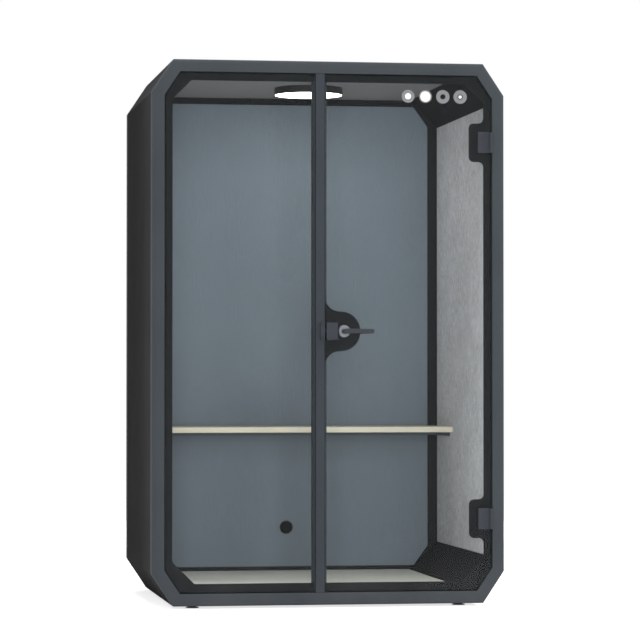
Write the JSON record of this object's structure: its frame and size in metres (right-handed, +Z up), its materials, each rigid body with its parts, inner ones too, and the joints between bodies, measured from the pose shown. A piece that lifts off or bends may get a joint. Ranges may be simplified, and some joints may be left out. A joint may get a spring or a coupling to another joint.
{
  "type": "acoustic office pod",
  "caption": "Free-standing sound-insulated booth with cut corners, a glazed front with a hinged glass door on a lever latch, felt lining, a fixed desk, a ceiling lamp and ventilation fans.",
  "frame": {"origin": "centre of the footprint box at the level the feet stand on", "axes": "+Z up, -Y out of the glazed front, +X to the right seen from the front"},
  "size_m": [1.5, 1.252, 2.3],
  "materials": {
    "frame_paint": "slate grey powder coat on aluminium extrusion, fine texture, satin",
    "skin_paint": "dark grey powder coat on steel sheet, fine texture, matte",
    "black_paint": "black powder coat on steel sheet, matte",
    "hardware_paint": "slate grey paint on cast metal, satin",
    "lever_metal": "dark grey satin coat",
    "chrome": "polished",
    "steel": "brushed",
    "clear_glass": "clear toughened glass",
    "wall_felt": "heathered grey felt board",
    "ceiling_felt": "dark grey felt board",
    "back_felt": "smooth blue-grey felt board",
    "wool": "sound-absorbing fibre core",
    "carpet": "short pile carpet",
    "plywood": "bare plywood",
    "oak": "light oak board, satin",
    "rubber": "black, matte",
    "plastic": "black moulded plastic, matte",
    "opal": "opal white"
  },
  "bodies": {
    "shell": {"front_frame": "frame_paint", "rear_frame": "frame_paint", "reveal_plate": "black_paint", "rear_skin": "skin_paint", "right_skin": "skin_paint", "left_skin": "skin_paint", "roof_skin": "skin_paint", "base_pan": "skin_paint", "right_core": "wool", "left_core": "wool", "roof_core": "wool", "rear_core": "wool", "left_felt": "wall_felt", "right_felt": "wall_felt", "ceiling_felt": "ceiling_felt", "bottom_left_cover": "black_paint", "bottom_right_cover": "black_paint", "top_left_cover": "black_paint", "top_right_cover": "black_paint", "back_panel": "back_felt", "back_trim": "black_paint", "cable_grommet": "rubber", "carpet": "carpet", "floor_deck": "plywood", "base_frame": "plywood", "front_left_foot": "plastic", "front_right_foot": "plastic", "rear_left_foot": "plastic", "rear_right_foot": "plastic", "mullion": "frame_paint", "fixed_glass": "clear_glass", "fixed_glass_gasket": "rubber", "door_seal": "rubber", "upper_hinge_leaf": "hardware_paint", "lower_hinge_leaf": "hardware_paint", "latch_keep": "hardware_paint", "lamp_housing": "plastic", "led_board": "opal", "lamp_diffuser": "opal", "desktop": "oak", "desk_rail": "black_paint", "switch_plate": "plastic", "left_fan_frame": "plastic", "right_fan_frame": "plastic"},
    "door": {"door_glass": "clear_glass", "upper_hinge_clamp": "hardware_paint", "upper_hinge_back_plate": "hardware_paint", "upper_hinge_pin": "steel", "lower_hinge_clamp": "hardware_paint", "lower_hinge_back_plate": "hardware_paint", "lower_hinge_pin": "steel", "lock_case": "hardware_paint", "outer_rosette": "chrome", "inner_rosette": "chrome"},
    "lever": {"outer_lever": "lever_metal", "inner_lever": "lever_metal"},
    "latch": {"latch_bolt": "steel"},
    "button": {"light_button": "opal"},
    "left_rotor": {"left_fan_rotor": "plastic"},
    "right_rotor": {"right_fan_rotor": "plastic"}
  },
  "joints": [
    {"name": "door_swing", "type": "hinge", "parent": "shell", "child": "door", "pos_m": [0.6912, -0.5808, 0], "axis": [0, 0, 1], "range_deg": [0, 105]},
    {"name": "lever_turn", "type": "hinge", "parent": "door", "child": "lever", "pos_m": [0.0595, -0.574, 1.162], "axis": [0, 1, 0], "range_deg": [0, 45], "stiffness_Nm_per_rad": 1.8, "springref_deg": -22.92},
    {"name": "latch_slide", "type": "slide", "parent": "door", "child": "latch", "axis": [1, 0, 0], "range_m": [0, 0.012]},
    {"name": "button_press", "type": "slide", "parent": "shell", "child": "button", "axis": [-1, 0, 0], "range_m": [0, 0.002], "stiffness_N_per_m": 800, "springref_m": -0.001},
    {"name": "left_fan_spin", "type": "hinge", "parent": "shell", "child": "left_rotor", "pos_m": [-0.6065, 0.026, 2.2732], "axis": [0, 0, 1], "continuous": true},
    {"name": "right_fan_spin", "type": "hinge", "parent": "shell", "child": "right_rotor", "pos_m": [0.6065, 0.026, 2.2732], "axis": [0, 0, 1], "continuous": true}
  ],
  "couplings": [
    {"joint": "latch_slide", "follows": "lever_turn", "m_per_rad": 0.015278}
  ]
}
